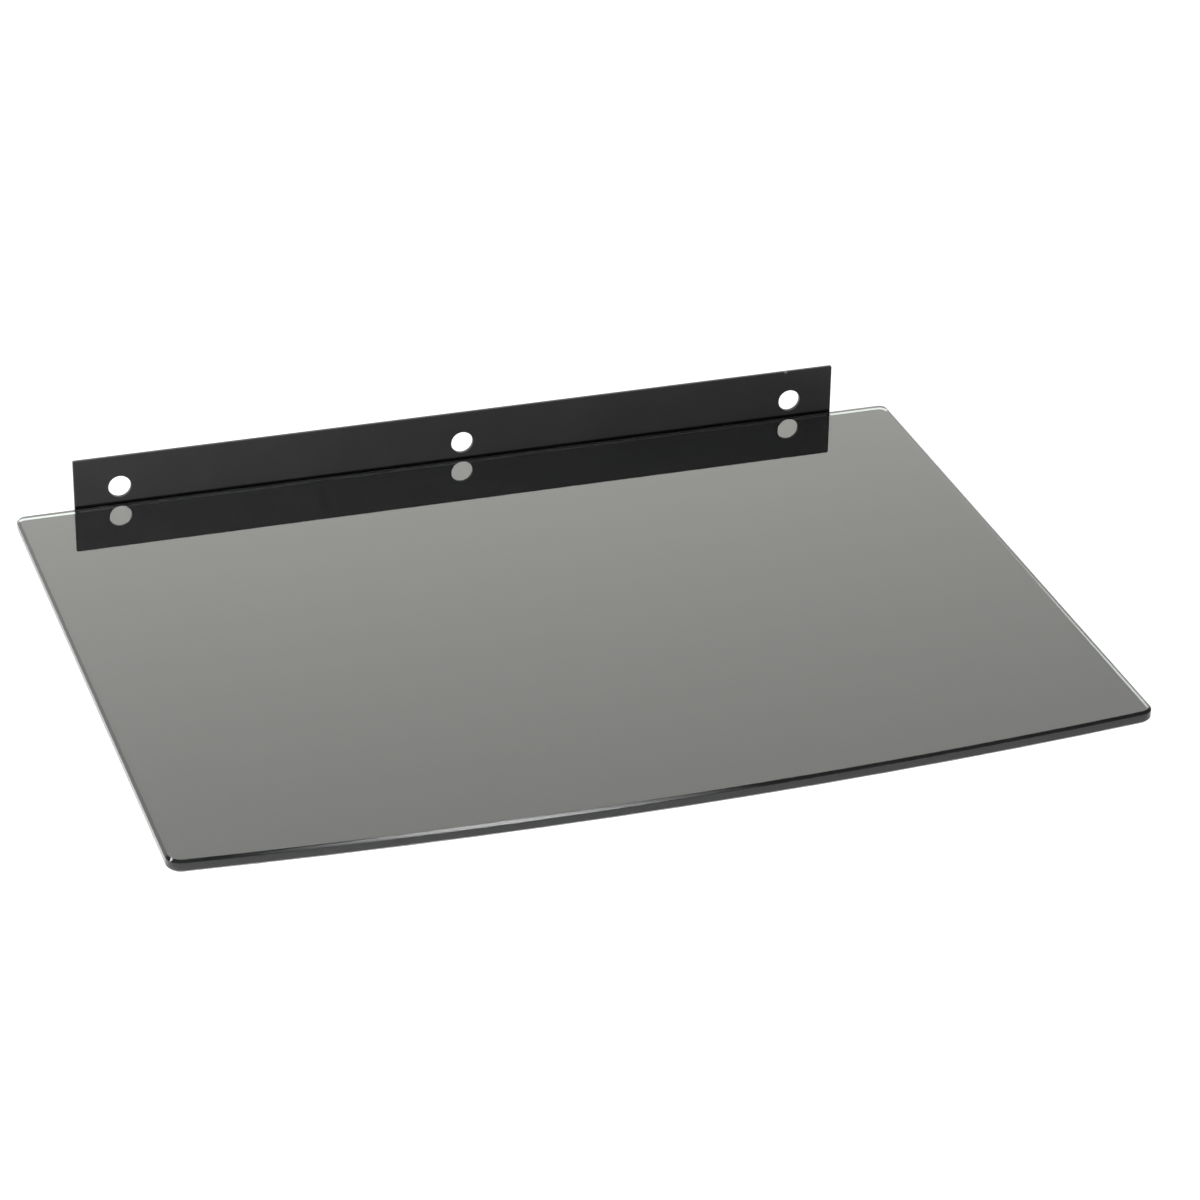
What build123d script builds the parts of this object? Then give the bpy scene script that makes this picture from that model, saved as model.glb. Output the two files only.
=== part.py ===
from build123d import *
import os

# Wall shelf: a bowed sheet of glass, coated black underneath, bonded to a folded steel wall bracket.
# Millimetres. The wall is the plane Y = 0 and the shelf stands out towards -Y, with +Z up.
# The origin is the middle of the bracket's wall face, where its middle screw hole is.

# Glass panel
GLASS_WIDTH = 380.0
GLASS_DEPTH = 288.0  # from the back edge to the crown of the bowed front
GLASS_THICKNESS = 5.0
FRONT_BOW = 9.0  # how far the crown stands in front of the two front corners
FRONT_CORNER_RADIUS = 6.0
BACK_CORNER_RADIUS = 4.0
ARRIS = 1.0  # ground bevel along the upper and lower edge

# Black coat under the glass
COAT_THICKNESS = 0.1

# Folded wall bracket
BRACKET_SETBACK = 25.0  # how far each end stops short of the glass's side
WALL_FLANGE_HEIGHT = 27.5
SHELF_FLANGE_DEPTH = 45.0  # measured from the wall
SHEET = 1.5
BEND_RADIUS = 1.0  # inside of the fold
FLANGE_CORNER_RADIUS = 0.6
EDGE_BREAK = 0.25  # rounding of the cut edges under the powder coat

# Screw holes, on the middle line of the upright flange
HOLE_DIAMETER = 9.5
HOLE_COUNT = 3
HOLE_END_DISTANCE = 19.0  # from an outer hole's centre to the bracket's end

# Bond between the bracket's level flange and the coat
BOND_THICKNESS = 0.3
BOND_MARGIN = 2.0  # bare strip between the bond and the flange's cut edges
BOND_CORNER_RADIUS = 3.0
EDGE_CLEARANCE = 0.2  # from the end of the fold to the back edge of the glass

# Levels, from the bracket upwards
bracket_bottom = -WALL_FLANGE_HEIGHT / 2
bracket_top = bracket_bottom + WALL_FLANGE_HEIGHT
flange_top = bracket_bottom + SHEET
coat_bottom = flange_top + BOND_THICKNESS
glass_bottom = coat_bottom + COAT_THICKNESS

# Distances from the wall
glass_back = SHEET + BEND_RADIUS + EDGE_CLEARANCE
glass_crown = glass_back + GLASS_DEPTH
glass_side_end = glass_crown - FRONT_BOW
bond_back = glass_back + ARRIS
bond_front = SHELF_FLANGE_DEPTH - BOND_MARGIN

# Lengths along the wall
bracket_length = GLASS_WIDTH - 2 * BRACKET_SETBACK
bond_length = bracket_length - 2 * BOND_MARGIN
hole_pitch = (bracket_length - 2 * HOLE_END_DISTANCE) / (HOLE_COUNT - 1)

os.makedirs("parts", exist_ok=True)

# Plan of the glass, shared by the panel and its coat: one half, mirrored
with BuildSketch() as shelf_plan:
    with BuildLine():
        crown = (0, -glass_crown)
        front_corner = (GLASS_WIDTH / 2, -glass_side_end)
        back_corner = (GLASS_WIDTH / 2, -glass_back)
        back_middle = (0, -glass_back)
        TangentArc(crown, front_corner, tangent=(1, 0))
        Polyline(front_corner, back_corner, back_middle)
        mirror(about=Plane.YZ)
    make_face()
    fillet(shelf_plan.edges().filter_by(Axis.Y).vertices().group_by(Axis.Y)[0], FRONT_CORNER_RADIUS)
    fillet(shelf_plan.edges().filter_by(Axis.Y).vertices().group_by(Axis.Y)[-1], BACK_CORNER_RADIUS)

# Glass panel: flat polished edge, with an arris all round above and below
with BuildPart() as glass_panel:
    with BuildSketch(Plane.XY.offset(glass_bottom)):
        add(shelf_plan.sketch)
    extrude(amount=GLASS_THICKNESS)
    chamfer(glass_panel.faces().filter_by(Axis.Z).edges(), ARRIS)

# Coat: covers the underside as far as the arris
with BuildPart() as enamel_coat:
    with BuildSketch(Plane.XY.offset(coat_bottom)):
        add(shelf_plan.sketch)
        offset(amount=-ARRIS)
    extrude(amount=COAT_THICKNESS)

# Wall bracket: a strip folded once, drawn along its wall face and underside
with BuildPart() as wall_bracket:
    with BuildSketch(Plane.YZ):
        with BuildLine():
            outside = FilletPolyline(
                (0, bracket_top),
                (0, bracket_bottom),
                (-SHELF_FLANGE_DEPTH, bracket_bottom),
                radius=BEND_RADIUS + SHEET,
            )
            offset(outside, amount=SHEET, side=Side.RIGHT)
        make_face()
    extrude(amount=bracket_length / 2, both=True)
    ends = wall_bracket.faces().filter_by(Axis.X).edges()
    upper_corners = ends.filter_by(Axis.Y).group_by(Axis.Z)[-1]
    front_corners = ends.filter_by(Axis.Z).group_by(Axis.Y)[0]
    fillet(upper_corners + front_corners, FLANGE_CORNER_RADIUS)
    upper_edges = wall_bracket.edges().filter_by(Axis.X).group_by(Axis.Z)[-1]
    fillet(upper_edges, EDGE_BREAK)  # runs on along the tangent edges, round the whole strip
    with Locations(Plane.XZ):
        with GridLocations(hole_pitch, 0, HOLE_COUNT, 1):
            Hole(HOLE_DIAMETER / 2)

# Bond: a film on the level flange, under the coated part of the glass
with BuildPart() as bond_film:
    with BuildSketch(Plane.XY.offset(flange_top)) as bond_plan:
        with Locations((0, -(bond_back + bond_front) / 2)):
            Rectangle(bond_length, bond_front - bond_back)
        fillet(bond_plan.vertices(), BOND_CORNER_RADIUS)
    extrude(amount=BOND_THICKNESS)

for name, piece in (
    ("glass_panel", glass_panel),
    ("enamel_coat", enamel_coat),
    ("wall_bracket", wall_bracket),
    ("bond_film", bond_film),
):
    piece.part.label = name
    export_step(piece.part, f"parts/{name}.step")
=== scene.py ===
import math

import bpy
from mathutils import Matrix, Vector


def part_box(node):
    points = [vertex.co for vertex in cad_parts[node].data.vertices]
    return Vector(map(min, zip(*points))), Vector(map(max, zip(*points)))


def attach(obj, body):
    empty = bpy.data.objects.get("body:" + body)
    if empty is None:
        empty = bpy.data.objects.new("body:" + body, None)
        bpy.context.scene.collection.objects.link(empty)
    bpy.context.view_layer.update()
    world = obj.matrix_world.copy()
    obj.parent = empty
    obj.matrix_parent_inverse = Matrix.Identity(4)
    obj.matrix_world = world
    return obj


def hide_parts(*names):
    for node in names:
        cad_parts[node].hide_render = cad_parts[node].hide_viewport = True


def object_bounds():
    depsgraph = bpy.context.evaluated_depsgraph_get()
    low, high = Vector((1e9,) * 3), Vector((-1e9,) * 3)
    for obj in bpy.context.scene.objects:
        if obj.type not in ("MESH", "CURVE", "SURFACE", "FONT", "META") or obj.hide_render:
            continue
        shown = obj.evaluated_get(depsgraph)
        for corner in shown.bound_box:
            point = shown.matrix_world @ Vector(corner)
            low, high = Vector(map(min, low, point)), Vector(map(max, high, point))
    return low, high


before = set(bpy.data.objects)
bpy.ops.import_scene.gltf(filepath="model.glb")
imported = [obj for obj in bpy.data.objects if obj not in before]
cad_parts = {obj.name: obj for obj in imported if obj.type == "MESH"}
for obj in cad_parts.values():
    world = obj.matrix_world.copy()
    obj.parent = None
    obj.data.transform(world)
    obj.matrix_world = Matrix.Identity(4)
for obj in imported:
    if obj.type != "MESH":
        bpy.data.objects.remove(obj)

# Wall shelf: a bowed sheet of black-backed glass, bonded to a folded steel wall bracket.
# Metres. The wall is the plane Y = 0 and the shelf stands out towards -Y, with +Z up.

MM = 0.001
CAD_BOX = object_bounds()
GLASS_LOW, GLASS_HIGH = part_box("glass_panel")
BRACKET_LOW, BRACKET_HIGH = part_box("wall_bracket")

# Glass panel, beyond what its box gives
FRONT_BOW = 9.0 * MM
FRONT_CORNER_RADIUS = 6.0 * MM
BACK_CORNER_RADIUS = 4.0 * MM
ARRIS = 1.0 * MM
ARRIS_ROUNDING = 0.15 * MM  # polished-off corner of each ground edge
RIM_LAND = 0.1 * MM  # strip of the flat face that belongs to the rim
COAT_GRIP = 0.02 * MM  # how far the glass reaches into its coat, so that no air lies between them

# How finely half the outline of the glass is divided, and the rounding of its edges
FRONT_STEPS = 64
FRONT_CORNER_STEPS = 20
SIDE_CUTS = 48
BACK_CORNER_STEPS = 16
BACK_CUTS = 32
ROUNDING_STEPS = 6
WELD_DISTANCE = 0.002 * MM

# Powder coat on the bracket
SHEET = 1.5 * MM  # thickness of the steel
FOLD_REACH = 4.0 * MM  # painted light: pale grey inside the fold, this far from the wall and from below
FOLD_FADE = 0.6 * MM
FOLD_END_GAP = 1.0 * MM  # plain black paint, without the painted pale grey, at the two ends of the strip
FOLD_END_FADE = 2.0 * MM
CREVICE_BOTTOM = -2.2 * MM  # painted shade in the crevice behind the upper edge of the glass, measured from its top
CREVICE_BOTTOM_FADE = 0.8 * MM
CREVICE_TOP = 0.5 * MM
CREVICE_TOP_FADE = 0.4 * MM
CHIP_ALONG = 144.0 * MM  # chip on the upper edge of the upright flange
CHIP_RADIUS = 0.9 * MM

# Camera, fitted to the photograph's edges and holes
CAMERA_PLACE = (-445.1 * MM, -1519.4 * MM, 771.9 * MM)
CAMERA_YAW = math.radians(18.474)  # turned to the right of +Y
CAMERA_PITCH = math.radians(28.147)  # looking down
CAMERA_ROLL = math.radians(0.940)
CAMERA_LENS = 125.83
CAMERA_SENSOR = 36.0

# Studio: a pale floor well under the shelf, a lit wall behind it and four softboxes
WHITE = (1.0, 1.0, 1.0, 1.0)
FLOOR_DROP = 0.30
FLOOR_HALF_SIZE = 30.0
FLOOR_GLOW = 0.78
FLOOR_COLOUR = (0.75, 0.75, 0.75, 1.0)
AMBIENT = 0.18
WALL_AZIMUTH = 172.4  # degrees from the front, round by the right
WALL_RADIANCE = 2.34
WALL_TIGHTNESS = 5.0
WALL_FADES_ABOVE = 25.5  # degrees of elevation
WALL_TINT = (1.0, 1.005, 0.95, 1.0)
FRONT_AIM = -60.0 * MM  # where the front softbox points, along the front edge


def find_socket(sockets, key):
    """The socket with that number, or the one in use with that identifier or name."""
    if isinstance(key, int):
        return sockets[key]
    in_use = (socket for socket in sockets if socket.enabled)
    return next(socket for socket in in_use if key in (socket.identifier, socket.name))


def operator(operation, swapped=False):
    """A Python operator that adds a Math node."""

    def apply(self, other):
        pair = (other, self) if swapped else (self, other)
        return self.tree.add("ShaderNodeMath", {"operation": operation}, dict(enumerate(pair)))

    return apply


class Socket:
    """A node's output, which takes part in Python arithmetic."""

    def __init__(self, tree, output):
        self.tree = tree
        self.output = output

    __add__ = __radd__ = operator("ADD")
    __mul__ = __rmul__ = operator("MULTIPLY")
    __sub__ = operator("SUBTRACT")
    __rsub__ = operator("SUBTRACT", swapped=True)
    __truediv__ = operator("DIVIDE")
    __rtruediv__ = operator("DIVIDE", swapped=True)
    __pow__ = operator("POWER")
    __rpow__ = operator("POWER", swapped=True)

    def math(self, operation, *others):
        """A Math node of another kind, such as SQRT or MAXIMUM."""
        sockets = dict(enumerate((self, *others)))
        return self.tree.add("ShaderNodeMath", {"operation": operation}, sockets)

    def also(self, key):
        """Another output of the same node."""
        return Socket(self.tree, find_socket(self.output.node.outputs, key))


class Tree:
    """Adds nodes to one node tree."""

    def __init__(self, tree):
        self.tree = tree
        tree.nodes.clear()

    def add(self, kind, settings=None, sockets=None, output=0):
        """Adds a node: its settings first, then the values or links of its sockets."""
        node = self.tree.nodes.new(kind)
        for name, value in (settings or {}).items():
            setattr(node, name, value)
        for key, value in (sockets or {}).items():
            socket = find_socket(node.inputs, key)
            for source in value if isinstance(value, list) else [value]:
                if isinstance(source, Socket):
                    self.tree.links.new(source.output, socket)
                else:
                    socket.default_value = source
        return Socket(self, find_socket(node.outputs, output)) if node.outputs else node

    def vector(self, x=0.0, y=0.0, z=0.0):
        """A vector from three numbers."""
        return self.add("ShaderNodeCombineXYZ", None, {"X": x, "Y": y, "Z": z})

    def axis(self, vector, name):
        """One of a vector's three numbers: X, Y or Z."""
        return self.add("ShaderNodeSeparateXYZ", None, {0: vector}, name)

    def place(self):
        """Where a point of the surface is."""
        return self.add("ShaderNodeTexCoord", None, None, "Object")

    def step(self, value, low, high, start=0.0, end=1.0):
        """A smooth step from start, where the value is low, to end, where it is high."""
        sockets = {"Value": value, "From Min": low, "From Max": high, "To Min": start, "To Max": end}
        return self.add("ShaderNodeMapRange", {"interpolation_type": "SMOOTHSTEP"}, sockets, "Result")

    def noise(self, place, grain, detail=2.0, roughness=0.5):
        """Noise from 0 to 1 with spots of about that size."""
        sockets = {"Vector": place, "Scale": 1.0 / grain, "Detail": detail, "Roughness": roughness}
        return self.add("ShaderNodeTexNoise", None, sockets)

    def blend(self, share, first, second):
        """A colour between two colours."""
        sockets = {"Factor": share, "A": first, "B": second}
        return self.add("ShaderNodeMix", {"data_type": "RGBA"}, sockets, "Result")

    def bump(self, height, depth):
        """A normal from a height of 0 to 1 that stands for that depth."""
        return self.add("ShaderNodeBump", None, {"Distance": depth, "Height": height})


def make_material(name):
    """A new material and its tree."""
    material = bpy.data.materials.new(name)
    material.use_nodes = True
    return material, Tree(material.node_tree)


def surface(tree, sockets):
    """The material's shader, on its output."""
    shader = tree.add("ShaderNodeBsdfPrincipled", None, sockets)
    tree.add("ShaderNodeOutputMaterial", None, {"Surface": shader})


def clear_glass():
    """Float glass: mirror-flat faces with faint wipe marks, and a rim polished after grinding.

    The clear coat on the flat faces stands for a second reflection.
    """
    material, tree = make_material("clear_glass")
    place = tree.place()
    facing = tree.axis(place.also("Normal"), "Z")
    rim = tree.step(facing.math("ABSOLUTE"), 0.98, 0.90)
    face = 1 - rim
    wiped = tree.add("ShaderNodeMapping", None, {"Vector": place, "Scale": (0.35, 1.0, 1.0)})
    marks = tree.noise(wiped, grain=22 * MM, detail=4.0, roughness=0.6)
    grinding = tree.noise(place, grain=0.6 * MM)
    smear = tree.step(marks, 0.45, 0.75, end=0.012)
    polish = 0.006
    face_tint = (0.97, 0.985, 0.98, 1.0)
    rim_tint = (0.31, 0.365, 0.34, 1.0)
    surface(tree, {
        "Base Color": tree.blend(rim, face_tint, rim_tint),
        "Roughness": polish + smear * face + rim * (0.04 + 0.04 * grinding),
        "IOR": 1.52,
        "Transmission Weight": 1.0,
        "Coat Weight": face,
        "Coat Roughness": polish,
        "Normal": tree.bump(grinding * rim, depth=0.002 * MM),
    })
    return material


def black_enamel():
    """Fired black enamel: charcoal where it wets the glass, with a blacker skin on its bare underside."""
    material, tree = make_material("black_enamel")
    place = tree.place()
    facing = tree.axis(place.also("Normal"), "Z")
    bare = tree.step(facing, -0.2, -0.8)
    cloud = tree.noise(place, grain=40 * MM, detail=4.0, roughness=0.55)
    grain = tree.noise(place, grain=0.5 * MM)
    peel = tree.noise(place, grain=2.2 * MM)
    wetting = tree.blend(cloud, (0.035, 0.035, 0.036, 1.0), (0.045, 0.045, 0.046, 1.0))
    skin = tree.blend(cloud, (0.018, 0.018, 0.019, 1.0), (0.028, 0.028, 0.029, 1.0))
    surface(tree, {
        "Base Color": tree.blend(bare, wetting, skin),
        "Roughness": 0.45 + 0.15 * grain,
        "Specular IOR Level": 0.0,
        "Coat Weight": bare * (0.30 + 0.20 * cloud),
        "Coat Roughness": 0.28,
        "Normal": tree.bump(peel * 0.7 + grain * 0.3, depth=0.006 * MM),
    })
    return material


def black_powder_coat():
    """Satin black powder coat: fine orange peel and one chip on the upper edge.

    Painted shade darkens the crevice behind the glass's upper edge. Painted pale grey lightens the fold,
    seen through the glass.
    """
    material, tree = make_material("black_powder_coat")
    place = tree.place()
    along = tree.axis(place, "X")
    from_wall = BRACKET_HIGH.y - along.also("Y")
    from_below = along.also("Z") - BRACKET_LOW.z
    above_glass = along.also("Z") - GLASS_HIGH.z

    # Masks: the strip's inner sides, its fold for the painted pale grey, and the crevice for the painted
    # shade
    inner_side = tree.step(from_wall, 0.4 * SHEET, 0.8 * SHEET)
    upper_side = tree.step(from_below, 0.4 * SHEET, 0.8 * SHEET)
    near_corner = tree.step(from_wall.math("MAXIMUM", from_below), FOLD_REACH, FOLD_REACH - FOLD_FADE)
    fold_end = BRACKET_HIGH.x - FOLD_END_GAP
    between_ends = tree.step(along.math("ABSOLUTE"), fold_end, fold_end - FOLD_END_FADE)
    fold = inner_side * upper_side * near_corner * between_ends
    over_bottom = tree.step(above_glass, CREVICE_BOTTOM, CREVICE_BOTTOM + CREVICE_BOTTOM_FADE)
    under_top = tree.step(above_glass, CREVICE_TOP, CREVICE_TOP - CREVICE_TOP_FADE)
    crevice = inner_side * (over_bottom * under_top)

    # Texture, and the chip with its ragged outline
    peel = tree.noise(place, grain=1.4 * MM, detail=2.0, roughness=0.45)
    grain = tree.noise(place, grain=0.35 * MM)
    cloud = tree.noise(place, grain=30 * MM, detail=3.0, roughness=0.55)
    chip_place = (CHIP_ALONG, BRACKET_HIGH.y - SHEET, BRACKET_HIGH.z)
    chip_ends = {0: place, 1: chip_place}
    from_chip = tree.add("ShaderNodeVectorMath", {"operation": "DISTANCE"}, chip_ends, "Value")
    ragged = 0.5 * MM * (peel - 0.5)
    chip = tree.step(from_chip + ragged, CHIP_RADIUS, 0.7 * CHIP_RADIUS)

    # Painted light: pale grey inside the fold, seen through the glass as a pale strip
    painted_pale_fold = (0.27, 0.27, 0.27, 1.0)
    # Painted shade: near-black in the crevice behind the upper edge of the glass
    painted_crevice_shade = (0.004, 0.004, 0.004, 1.0)
    bare_steel = (0.34, 0.33, 0.32, 1.0)
    paint = tree.blend(cloud, (0.0285, 0.028, 0.0285, 1.0), (0.0415, 0.0405, 0.0405, 1.0))
    paint = tree.blend(fold, paint, painted_pale_fold)
    paint = tree.blend(crevice, paint, painted_crevice_shade)
    surface(tree, {
        "Base Color": tree.blend(chip, paint, bare_steel),
        "Metallic": 0.8 * chip,
        "Roughness": 0.31 + 0.10 * cloud + 0.08 * grain,
        "Normal": tree.bump(peel * 0.75 + grain * 0.25 - 0.6 * chip, depth=0.02 * MM),
    })
    return material


def cured_adhesive():
    """Black cured adhesive, a little cloudy and pitted where it shows at the joint."""
    material, tree = make_material("cured_adhesive")
    place = tree.place()
    cloud = tree.noise(place, grain=6 * MM, detail=3.0, roughness=0.6)
    pits = tree.noise(place, grain=0.5 * MM)
    surface(tree, {
        "Base Color": tree.blend(cloud, (0.035, 0.035, 0.035, 1.0), (0.07, 0.07, 0.068, 1.0)),
        "Roughness": 0.35 + 0.2 * cloud,
        "Normal": tree.bump(pits, depth=0.02 * MM),
    })
    return material


def rule_tree(name, sizes):
    """An empty Geometry Nodes tree with a named input for each size, and the inputs by identifier."""
    group = bpy.data.node_groups.new(name, "GeometryNodeTree")
    inputs = {}
    for size, value in sizes.items():
        socket = group.interface.new_socket(size, in_out="INPUT", socket_type="NodeSocketFloat")
        inputs[socket.identifier] = value
    group.interface.new_socket("Piece", in_out="OUTPUT", socket_type="NodeSocketGeometry")
    return group, inputs


def glass_panel_rule(tree, material):
    """Half the outline, mirrored; the rim's profile swept along it; and a flat face above and below."""
    given = tree.add("NodeGroupInput")
    half = given.also("Width") / 2
    back = given.also("Back")
    bottom = given.also("Bottom")
    top = given.also("Top")
    bow = given.also("Bow")
    front_radius = given.also("Front radius")
    back_radius = given.also("Back radius")
    arris = given.also("Arris")
    face_inset = arris + given.also("Land")

    def moved(geometry, x=0.0, y=0.0, z=0.0):
        sockets = {"Geometry": geometry, "Translation": tree.vector(x, y, z)}
        return tree.add("GeometryNodeTransform", None, sockets)

    def arc(steps, radius, start, sweep, x, y):
        sockets = {"Resolution": steps, "Radius": radius, "Start Angle": start, "Sweep Angle": sweep}
        return moved(tree.add("GeometryNodeCurveArc", {"mode": "RADIUS"}, sockets), x, y)

    def line(start, end, cuts=0):
        ends = {"Start": tree.vector(*start), "End": tree.vector(*end)}
        curve = tree.add("GeometryNodeCurvePrimitiveLine", None, ends)
        return tree.add("GeometryNodeSubdivideCurve", None, {"Curve": curve, "Cuts": cuts})

    def joined(*pieces):
        return tree.add("GeometryNodeJoinGeometry", None, {"Geometry": list(pieces)})

    def welded(geometry):
        sockets = {"Geometry": geometry, "Distance": WELD_DISTANCE}
        return tree.add("GeometryNodeMergeByDistance", None, sockets)

    def chained(*curves):
        edges = tree.add("GeometryNodeCurveToMesh", None, {"Curve": joined(*curves)})
        return tree.add("GeometryNodeMeshToCurve", None, {"Mesh": welded(edges)})

    # Outline: the bowed front's circle, and a corner circle that touches it and the side
    bow_radius = (half * half + bow * bow) / (2 * bow)
    bow_centre = given.also("Crown") + bow_radius
    reach = bow_radius - front_radius
    corner_x = half - front_radius
    corner_y = bow_centre - (reach * reach - corner_x * corner_x).math("SQRT")
    corner_turn = (corner_x / reach).math("ARCCOSINE")
    quarter = math.pi / 2
    right_half = joined(
        arc(FRONT_STEPS, bow_radius, -quarter, quarter - corner_turn, 0.0, bow_centre),
        arc(FRONT_CORNER_STEPS, front_radius, 0 - corner_turn, corner_turn, corner_x, corner_y),
        line((half, corner_y), (half, back - back_radius), SIDE_CUTS),
        arc(BACK_CORNER_STEPS, back_radius, 0.0, quarter, half - back_radius, back - back_radius),
        line((half - back_radius, back), (0.0, back), BACK_CUTS),
    )
    mirrored = {"Geometry": right_half, "Scale": (-1.0, 1.0, 1.0)}
    left_half = tree.add("GeometryNodeTransform", None, mirrored)
    outline = chained(right_half, left_half)
    outline = tree.add("GeometryNodeSetCurveNormal", {"mode": "Z_UP"}, {"Curve": outline})

    # Rim: flat land, arris, upright edge, arris, flat land, with each corner a little rounded.
    # The outline runs clockwise: a swept profile's X points inwards and its Y down.
    corners = [
        (face_inset, 0 - bottom),
        (arris, 0 - bottom),
        (0.0, 0 - bottom - arris),
        (0.0, arris - top),
        (arris, 0 - top),
        (face_inset, 0 - top),
    ]
    profile = chained(*(line(start, end) for start, end in zip(corners, corners[1:])))
    rounding = {"Curve": profile, "Count": ROUNDING_STEPS, "Radius": given.also("Rounding")}
    profile = tree.add("GeometryNodeFilletCurve", {"mode": "POLY"}, rounding)
    rim = tree.add("GeometryNodeCurveToMesh", None, {"Curve": outline, "Profile Curve": profile})
    rim = tree.add("GeometryNodeFlipFaces", None, {"Mesh": rim})

    # Flat faces inside the rim
    inwards = {0: tree.add("GeometryNodeInputNormal"), "Scale": face_inset}
    inset = tree.add("ShaderNodeVectorMath", {"operation": "SCALE"}, inwards, "Vector")
    face_outline = tree.add("GeometryNodeSetPosition", None, {"Geometry": outline, "Offset": inset})
    face = tree.add("GeometryNodeFillCurve", {"mode": "NGONS"}, {"Curve": face_outline})
    underside = tree.add("GeometryNodeFlipFaces", None, {"Mesh": moved(face, z=bottom)})
    panel = welded(joined(rim, moved(face, z=top), underside))

    smooth = {"Geometry": panel, "Shade Smooth": True}
    panel = tree.add("GeometryNodeSetShadeSmooth", {"domain": "FACE"}, smooth)
    panel = tree.add("GeometryNodeRealizeInstances", None, {"Geometry": panel})
    panel = tree.add("GeometryNodeSetMaterial", None, {"Geometry": panel, "Material": material})
    tree.add("NodeGroupOutput", None, {"Piece": panel})


def made_by_rule(name, group, inputs):
    """A plain mesh object, made by a Geometry Nodes tree with those inputs."""
    piece = bpy.data.objects.new(name, bpy.data.meshes.new(name))
    bpy.context.scene.collection.objects.link(piece)
    rule = piece.modifiers.new("rule", "NODES")
    rule.node_group = group
    for identifier, value in inputs.items():
        rule[identifier] = value
    evaluated = piece.evaluated_get(bpy.context.evaluated_depsgraph_get())
    mesh = bpy.data.meshes.new_from_object(evaluated)
    piece.modifiers.remove(rule)
    piece.data = mesh
    return piece


def glass_sheet():
    """The bowed sheet of glass, which stands for the plain one of the frame."""
    group, inputs = rule_tree("glass_panel_rule", {
        "Width": GLASS_HIGH.x - GLASS_LOW.x,
        "Back": GLASS_HIGH.y,
        "Crown": GLASS_LOW.y,
        "Bottom": GLASS_LOW.z - COAT_GRIP,
        "Top": GLASS_HIGH.z,
        "Bow": FRONT_BOW,
        "Front radius": FRONT_CORNER_RADIUS,
        "Back radius": BACK_CORNER_RADIUS,
        "Arris": ARRIS,
        "Rounding": ARRIS_ROUNDING,
        "Land": RIM_LAND,
    })
    glass_panel_rule(Tree(group), clear_glass())
    piece = made_by_rule("glass_sheet", group, inputs)
    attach(piece, "root")
    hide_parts("glass_panel")


def finish_node(node, material):
    """Gives a piece of the frame its material."""
    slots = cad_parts[node].data.materials
    slots.clear()
    slots.append(material)


def direction(azimuth, elevation):
    """A unit vector, from degrees: azimuth from the front (-Y), round by the right (+X)."""
    turn = math.radians(azimuth)
    rise = math.radians(elevation)
    flat = math.cos(rise)
    return Vector((math.sin(turn) * flat, -math.cos(turn) * flat, math.sin(rise)))


def studio_world():
    """Dim all round, with a softly lit wall behind the shelf. The camera itself sees plain white."""
    world = bpy.data.worlds.new("studio")
    world.use_nodes = True
    tree = Tree(world.node_tree)
    looking = tree.add("ShaderNodeTexCoord", None, None, "Generated")
    pair = {0: looking, 1: direction(WALL_AZIMUTH, 0.0)}
    towards = tree.add("ShaderNodeVectorMath", {"operation": "DOT_PRODUCT"}, pair, "Value")
    fade_start = math.sin(math.radians(WALL_FADES_ABOVE))
    fading = tree.step(tree.axis(looking, "Z"), fade_start, 1.0, start=1.0, end=0.0)
    wall_light = WALL_RADIANCE * towards.math("MAXIMUM", 0.0) ** WALL_TIGHTNESS * fading
    lit_wall = tree.add("ShaderNodeBackground", None, {"Color": WALL_TINT, "Strength": wall_light})
    room = tree.add("ShaderNodeBackground", None, {"Color": WHITE, "Strength": AMBIENT})
    light = tree.add("ShaderNodeAddShader", None, {0: lit_wall, 1: room})
    backdrop = tree.add("ShaderNodeBackground", None, {"Color": WHITE, "Strength": 1.0})
    seen = tree.add("ShaderNodeLightPath", None, None, "Is Camera Ray")
    shown = tree.add("ShaderNodeMixShader", None, {0: seen, 1: light, 2: backdrop})
    tree.add("ShaderNodeOutputWorld", None, {"Surface": shown})
    bpy.context.scene.world = world


def studio_floor():
    """A pale floor that glows a little, and can't be seen from below."""
    material, tree = make_material("floor")
    paint = tree.add("ShaderNodeBsdfDiffuse", None, {"Color": FLOOR_COLOUR})
    glow = tree.add("ShaderNodeEmission", None, {"Strength": FLOOR_GLOW})
    upper = tree.add("ShaderNodeAddShader", None, {0: paint, 1: glow})
    lower = tree.add("ShaderNodeBsdfTransparent")
    below = tree.add("ShaderNodeNewGeometry", None, None, "Backfacing")
    shown = tree.add("ShaderNodeMixShader", None, {0: below, 1: upper, 2: lower})
    tree.add("ShaderNodeOutputMaterial", None, {"Surface": shown})
    level = CAD_BOX[0].z - FLOOR_DROP
    signs = [(-1, -1), (1, -1), (1, 1), (-1, 1)]
    corners = [(x * FLOOR_HALF_SIZE, y * FLOOR_HALF_SIZE, level) for x, y in signs]
    mesh = bpy.data.meshes.new("floor")
    mesh.from_pydata(corners, [], [(0, 1, 2, 3)])
    mesh.materials.append(material)
    floor = bpy.data.objects.new("floor", mesh)
    bpy.context.scene.collection.objects.link(floor)


def dim_towards_ends(light, spread):
    """Dims a light towards its two ends along a bell curve, whose spread is that share of its width."""
    light.use_nodes = True
    tree = Tree(light.node_tree)
    panel = tree.add("ShaderNodeNewGeometry", None, None, "Parametric")
    from_middle = (tree.axis(panel, "X") - 0.5) / spread
    bell = (from_middle * from_middle * -0.5).math("EXPONENT")
    glow = tree.add("ShaderNodeEmission", None, {"Strength": bell})
    tree.add("ShaderNodeOutputLight", None, {"Surface": glow})


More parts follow.
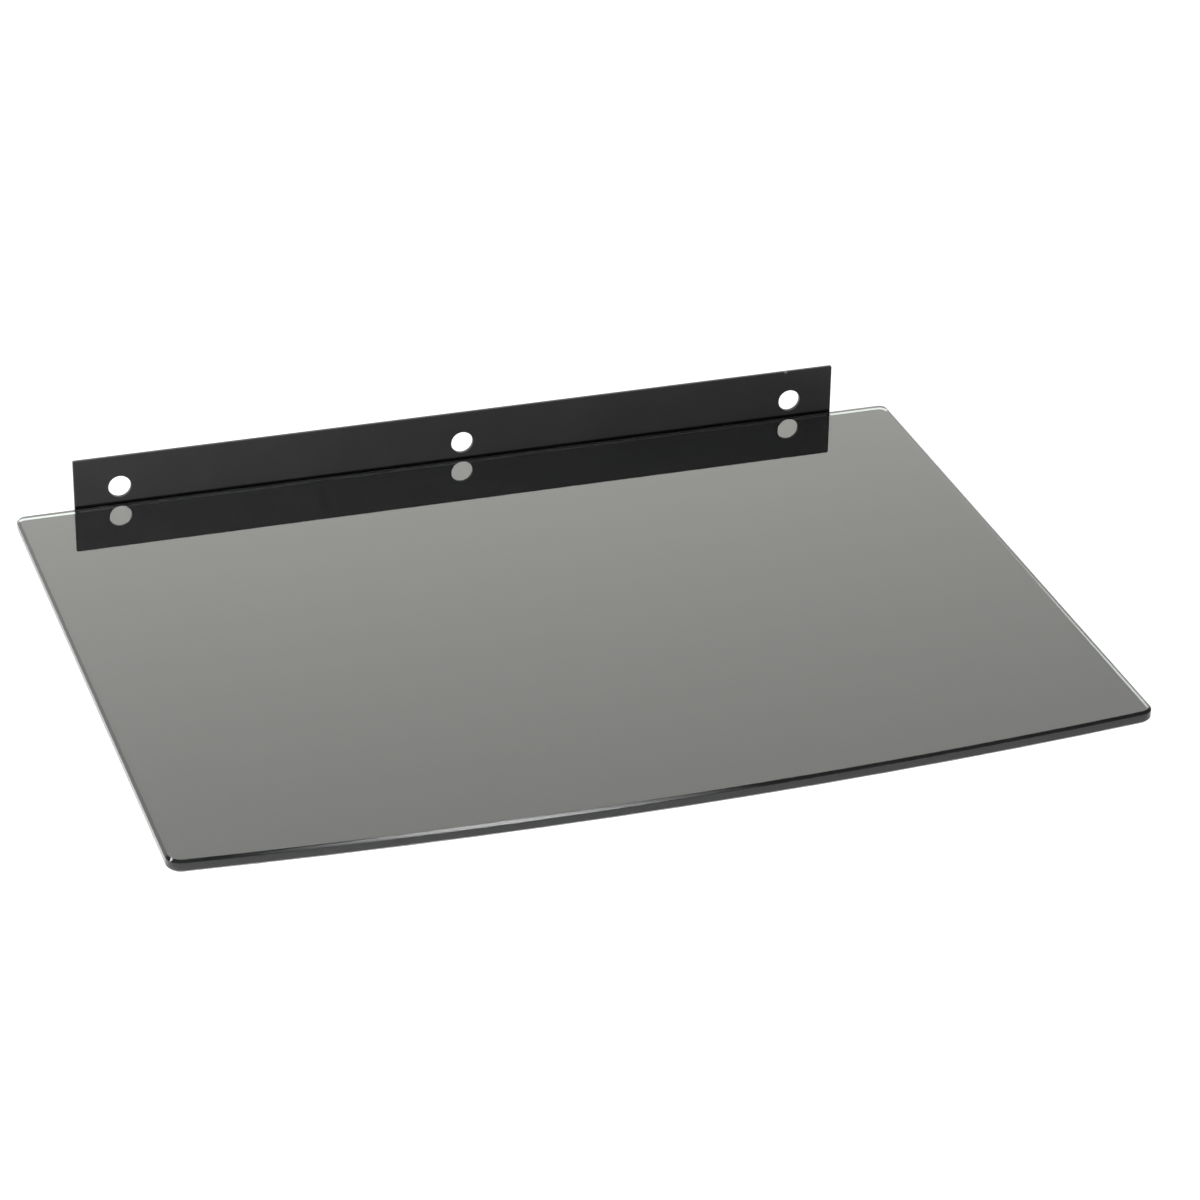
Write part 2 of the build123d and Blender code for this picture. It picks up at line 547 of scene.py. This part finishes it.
def softbox(name, aim, azimuth, elevation, distance, size, radiance, mirrored=True, spread=None):
    """A soft rectangular light, that far from its aim. It may be kept out of mirror images."""
    width, height = size
    light = bpy.data.lights.new(name, "AREA")
    light.shape = "RECTANGLE"
    light.size = width
    light.size_y = height
    light.energy = radiance * math.pi * width * height
    if spread:
        dim_towards_ends(light, spread)
    lamp = bpy.data.objects.new(name, light)
    towards = direction(azimuth, elevation)
    lamp.location = Vector(aim) + distance * towards
    lamp.rotation_euler = towards.to_track_quat("Z", "Y").to_euler()
    lamp.visible_camera = False
    lamp.visible_glossy = mirrored
    bpy.context.scene.collection.objects.link(lamp)


def studio_softboxes():
    """Three panels that the edges of the glass mirror, and a low one that lights the bracket."""
    softbox(
        "front_softbox",
        aim=(FRONT_AIM, GLASS_LOW.y, GLASS_HIGH.z),
        azimuth=20.0,
        elevation=55.5,
        distance=1.2,
        size=(0.46, 0.21),
        radiance=10.6,
        spread=0.21,
    )
    softbox(
        "left_fill",
        aim=(GLASS_LOW.x, GLASS_LOW.y / 2, GLASS_HIGH.z),
        azimuth=-150.0,
        elevation=9.5,
        distance=1.0,
        size=(0.36, 0.24),
        radiance=0.7,
    )
    softbox(
        "left_softbox",
        aim=(GLASS_LOW.x, GLASS_LOW.y, GLASS_HIGH.z),
        azimuth=-114.0,
        elevation=46.0,
        distance=0.9,
        size=(0.40, 0.30),
        radiance=22.0,
    )
    softbox(
        "low_softbox",
        aim=(BRACKET_LOW.x, BRACKET_HIGH.y, 0.0),
        azimuth=-42.0,
        elevation=6.0,
        distance=0.65,
        size=(0.45, 0.10),
        radiance=36.0,
        mirrored=False,
    )


def photo_camera():
    """The camera at the photograph's viewing angle."""
    data = bpy.data.cameras.new("camera")
    data.sensor_width = CAMERA_SENSOR
    data.lens = CAMERA_LENS
    camera = bpy.data.objects.new("camera", data)
    turn = Matrix.Rotation(-CAMERA_YAW, 4, "Z")
    tilt = Matrix.Rotation(math.pi / 2 - CAMERA_PITCH, 4, "X")
    roll = Matrix.Rotation(CAMERA_ROLL, 4, "Z")
    camera.matrix_world = Matrix.Translation(CAMERA_PLACE) @ turn @ tilt @ roll
    bpy.context.scene.collection.objects.link(camera)
    bpy.context.scene.camera = camera


glass_sheet()
finish_node("enamel_coat", black_enamel())
finish_node("wall_bracket", black_powder_coat())
finish_node("bond_film", cured_adhesive())

studio_world()
studio_floor()
studio_softboxes()
photo_camera()
bpy.context.scene.view_settings.view_transform = "Standard"
